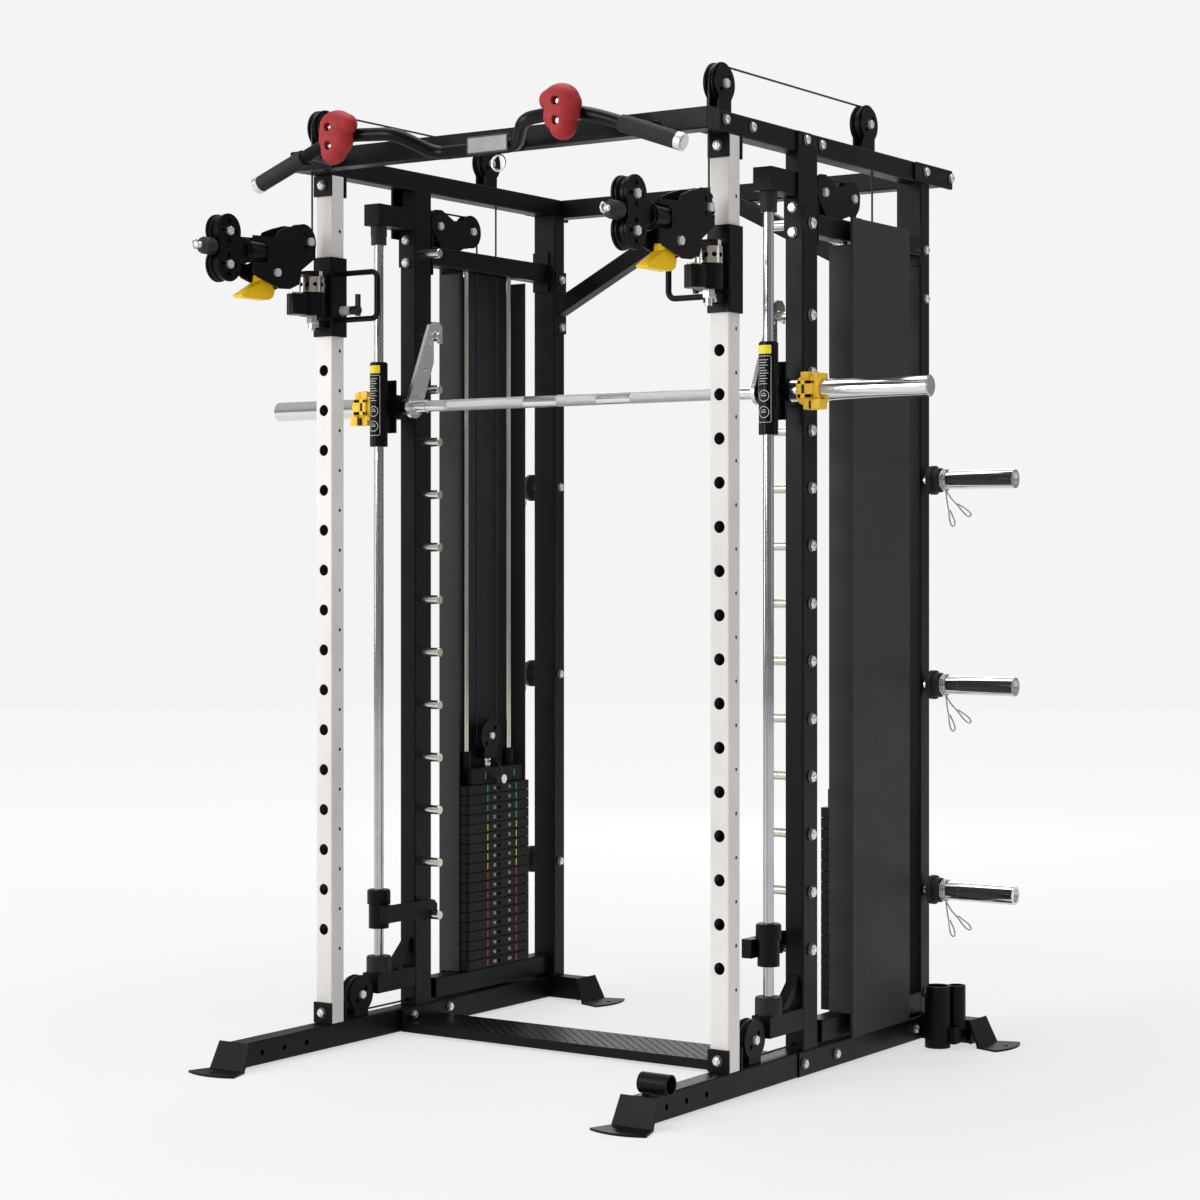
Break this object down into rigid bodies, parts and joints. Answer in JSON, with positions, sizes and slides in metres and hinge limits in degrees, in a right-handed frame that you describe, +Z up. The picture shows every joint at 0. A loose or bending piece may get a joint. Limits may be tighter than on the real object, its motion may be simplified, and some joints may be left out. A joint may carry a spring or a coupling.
{
  "type": "smith machine",
  "caption": "Free-standing gym frame with a guided barbell, two adjustable cable arms, twin weight stacks, a pull-up station and plate storage.",
  "frame": {"origin": "on the floor, below the centre of the machine's bounding box", "axes": "+X to the right as seen from the front, +Y to the back, +Z up"},
  "size_m": [1.938, 1.599, 2.3505],
  "materials": {
    "black_frame": "satin powder coat",
    "white_post": "satin powder coat",
    "grey_panel": "fine texture powder coat",
    "dark_washer": "satin",
    "zinc": "zinc plated",
    "chrome_rod": "polished",
    "nickel_peg": "plated",
    "black_rubber": "matt",
    "grip_rubber": "matt, fine texture",
    "red_resin": "sand texture",
    "silver_cap": "satin",
    "plate_grey": "brushed",
    "black_cable": "coated cable",
    "stack_iron": "black paint",
    "yellow_clamp": "moulded",
    "black_plastic": "moulded",
    "wire": "spring wire"
  },
  "bodies": {
    "frame": {"base_rails": "black_frame", "front_feet": "black_frame", "rear_feet": "black_frame", "step_plate": "black_frame", "front_posts": "white_post", "post_brackets": "black_frame", "guide_uprights": "black_frame", "rear_uprights": "black_frame", "top_rails": "black_frame", "front_crossbar": "black_frame", "rear_crossbar": "black_frame", "rear_braces": "black_frame", "stack_beams": "black_frame", "rod_arms": "black_frame", "guide_rods": "chrome_rod", "rod_bumpers": "black_rubber", "rack_pegs": "nickel_peg", "frame_bolts": "zinc", "frame_washers": "dark_washer", "bar_holders": "black_frame", "pull_up_bar": "black_frame", "pull_up_grips": "grip_rubber", "pull_up_caps": "silver_cap", "climbing_holds": "red_resin", "name_plate": "plate_grey", "shrouds": "grey_panel", "stack_rods": "chrome_rod", "weight_plates": "stack_iron", "pulley_brackets": "black_frame", "top_cables": "black_cable", "storage_horns": "chrome_rod", "horn_collars": "black_rubber", "spring_clips": "wire"},
    "sleeve_left": {"bar_sleeve_left": "chrome_rod", "collar_clamp_left": "yellow_clamp"},
    "stop_left": {"safety_stop_left": "black_frame"},
    "stack_left": {"head_plate_left": "stack_iron", "stack_cable_left": "black_cable"},
    "pin_left": {"selector_pin_left": "black_plastic"},
    "carriage_left": {"carriage_left": "black_frame", "arm_cable_left": "black_cable"},
    "pull_pin_left": {"pull_pin_left": "black_plastic"},
    "arm_left": {"arm_left": "black_frame"},
    "yoke_left": {"arm_yoke_left": "black_frame"},
    "cable_end_left": {"cable_end_left": "black_rubber"},
    "sleeve_right": {"bar_sleeve_right": "chrome_rod", "collar_clamp_right": "yellow_clamp"},
    "stop_right": {"safety_stop_right": "black_frame"},
    "stack_right": {"head_plate_right": "stack_iron", "stack_cable_right": "black_cable"},
    "pin_right": {"selector_pin_right": "black_plastic"},
    "carriage_right": {"carriage_right": "black_frame", "arm_cable_right": "black_cable"},
    "pull_pin_right": {"pull_pin_right": "black_plastic"},
    "arm_right": {"arm_right": "black_frame"},
    "yoke_right": {"arm_yoke_right": "black_frame"},
    "cable_end_right": {"cable_end_right": "black_rubber"},
    "bar": {"bar_shaft": "chrome_rod", "bar_bearings": "black_frame", "bar_hooks": "nickel_peg"}
  },
  "joints": [
    {"name": "bar_lift", "type": "slide", "parent": "frame", "child": "bar", "axis": [0, 0, 1], "range_m": [0, 0.1]},
    {"name": "sleeve_left_spin", "type": "hinge", "parent": "bar", "child": "sleeve_left", "pos_m": [-0.8, -0.035, 1.621], "axis": [1, 0, 0], "continuous": true},
    {"name": "stop_left_lift", "type": "slide", "parent": "frame", "child": "stop_left", "axis": [0, 0, 1], "range_m": [0, 0.06]},
    {"name": "stack_left_lift", "type": "slide", "parent": "frame", "child": "stack_left", "axis": [0, 0, 1], "range_m": [0, 0.5], "deforming": ["stack_cable_left"]},
    {"name": "pin_left_pull", "type": "slide", "parent": "stack_left", "child": "pin_left", "axis": [1, 0, 0], "range_m": [0, 0.05]},
    {"name": "carriage_left_slide", "type": "slide", "parent": "frame", "child": "carriage_left", "axis": [0, 0, 1], "range_m": [-1.3, 0], "deforming": ["arm_cable_left"]},
    {"name": "pull_pin_left_slide", "type": "slide", "parent": "carriage_left", "child": "pull_pin_left", "axis": [-1, 0, 0], "range_m": [-0.012, 0]},
    {"name": "arm_left_swivel", "type": "hinge", "parent": "carriage_left", "child": "arm_left", "pos_m": [-0.58, -0.363, 1.971], "axis": [0, 0, 1], "range_deg": [-72, 72]},
    {"name": "yoke_left_roll", "type": "hinge", "parent": "arm_left", "child": "yoke_left", "pos_m": [-0.58, -0.691, 1.971], "axis": [0, 1, 0], "continuous": true},
    {"name": "cable_left_pull", "type": "slide", "parent": "yoke_left", "child": "cable_end_left", "axis": [0, -1, 0], "range_m": [0, 1]},
    {"name": "sleeve_right_spin", "type": "hinge", "parent": "bar", "child": "sleeve_right", "pos_m": [0.8, -0.035, 1.621], "axis": [1, 0, 0], "continuous": true},
    {"name": "stop_right_lift", "type": "slide", "parent": "frame", "child": "stop_right", "axis": [0, 0, 1], "range_m": [0, 0.06]},
    {"name": "stack_right_lift", "type": "slide", "parent": "frame", "child": "stack_right", "axis": [0, 0, 1], "range_m": [0, 0.5], "deforming": ["stack_cable_right"]},
    {"name": "pin_right_pull", "type": "slide", "parent": "stack_right", "child": "pin_right", "axis": [-1, 0, 0], "range_m": [0, 0.05]},
    {"name": "carriage_right_slide", "type": "slide", "parent": "frame", "child": "carriage_right", "axis": [0, 0, 1], "range_m": [-1.3, 0], "deforming": ["arm_cable_right"]},
    {"name": "pull_pin_right_slide", "type": "slide", "parent": "carriage_right", "child": "pull_pin_right", "axis": [1, 0, 0], "range_m": [-0.012, 0]},
    {"name": "arm_right_swivel", "type": "hinge", "parent": "carriage_right", "child": "arm_right", "pos_m": [0.58, -0.363, 1.971], "axis": [0, 0, 1], "range_deg": [-72, 72]},
    {"name": "yoke_right_roll", "type": "hinge", "parent": "arm_right", "child": "yoke_right", "pos_m": [0.58, -0.691, 1.971], "axis": [0, 1, 0], "continuous": true},
    {"name": "cable_right_pull", "type": "slide", "parent": "yoke_right", "child": "cable_end_right", "axis": [0, -1, 0], "range_m": [0, 1]}
  ],
  "couplings": [
    {"joint": "cable_left_pull", "follows": "stack_left_lift", "ratio": 2},
    {"joint": "cable_right_pull", "follows": "stack_right_lift", "ratio": 2}
  ]
}
